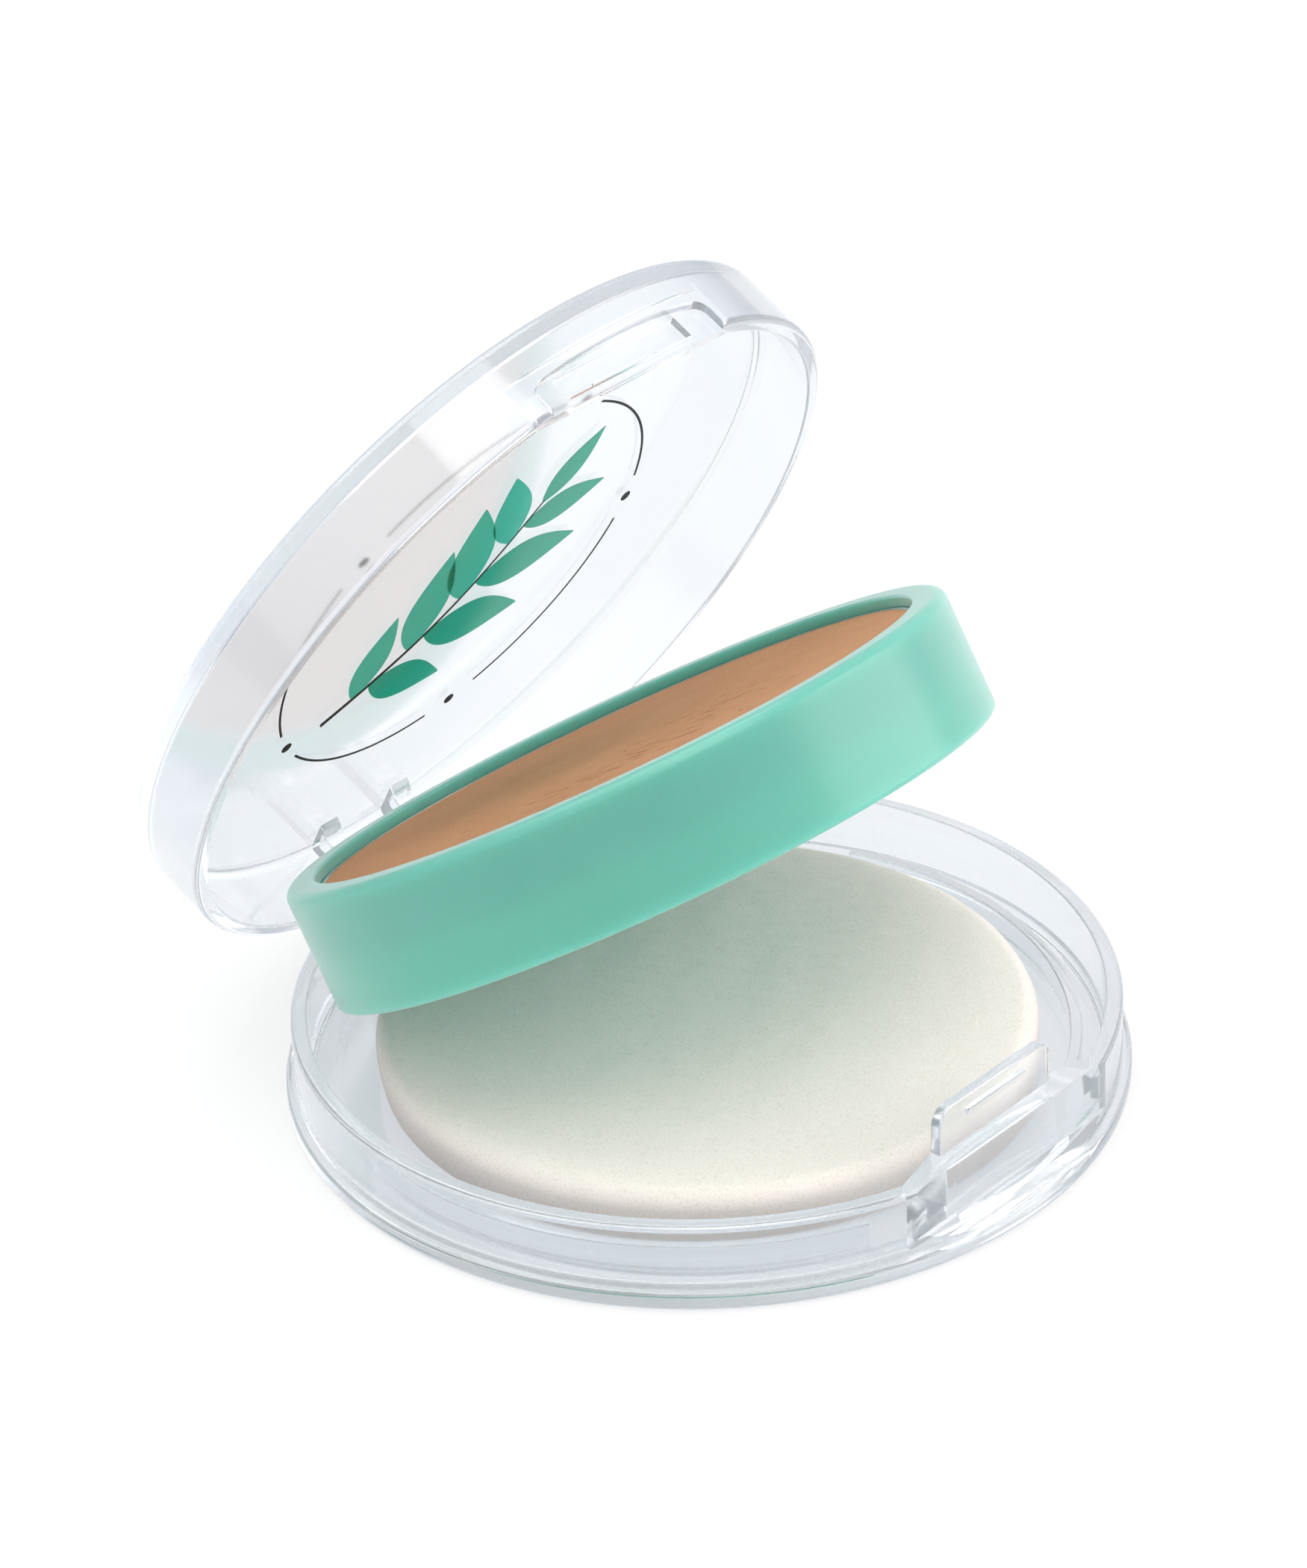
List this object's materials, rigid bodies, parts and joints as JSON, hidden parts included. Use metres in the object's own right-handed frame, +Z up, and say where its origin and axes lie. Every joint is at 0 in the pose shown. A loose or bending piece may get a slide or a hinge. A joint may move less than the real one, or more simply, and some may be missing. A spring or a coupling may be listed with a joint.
{
  "type": "powder compact",
  "caption": "Round clear cosmetic powder compact with a hinged clear lid, a hinged mint tray of pressed powder and a sponge in the base dish.",
  "frame": {"origin": "centre of the underside of the base, on the surface that it stands on", "axes": "+Z up; -Y towards the thumb notch at the front, +Y towards the hinge; the hinge axis runs along X"},
  "size_m": [0.0654, 0.0722, 0.063],
  "materials": {
    "clear_styrene": "clear, polished mould",
    "mint_tray": "satin moulded, slightly translucent",
    "pressed_powder": "matte pressed powder",
    "pan_aluminium": "drawn, bright",
    "hot_melt": "dull, translucent",
    "sponge_foam": "fine foam, matte",
    "hinge_steel": "plain drawn wire"
  },
  "bodies": {
    "base": {"base_shell": "clear_styrene", "sponge": "sponge_foam", "hinge_pin_left": "hinge_steel", "hinge_pin_right": "hinge_steel"},
    "tray": {"tray_shell": "mint_tray", "pan_glue": "hot_melt", "powder_pan": "pan_aluminium", "powder_cake": "pressed_powder"},
    "lid": {"lid_shell": "clear_styrene"}
  },
  "joints": [
    {"name": "tray_hinge", "type": "hinge", "parent": "base", "child": "tray", "pos_m": [0, 0.02975, 0.00405], "axis": [-1, 0, 0], "range_deg": [-31.4, 3.6]},
    {"name": "lid_hinge", "type": "hinge", "parent": "tray", "child": "lid", "pos_m": [0, 0.02975, 0.00405], "axis": [-1, 0, 0], "range_deg": [-30.4, 29.6]}
  ]
}
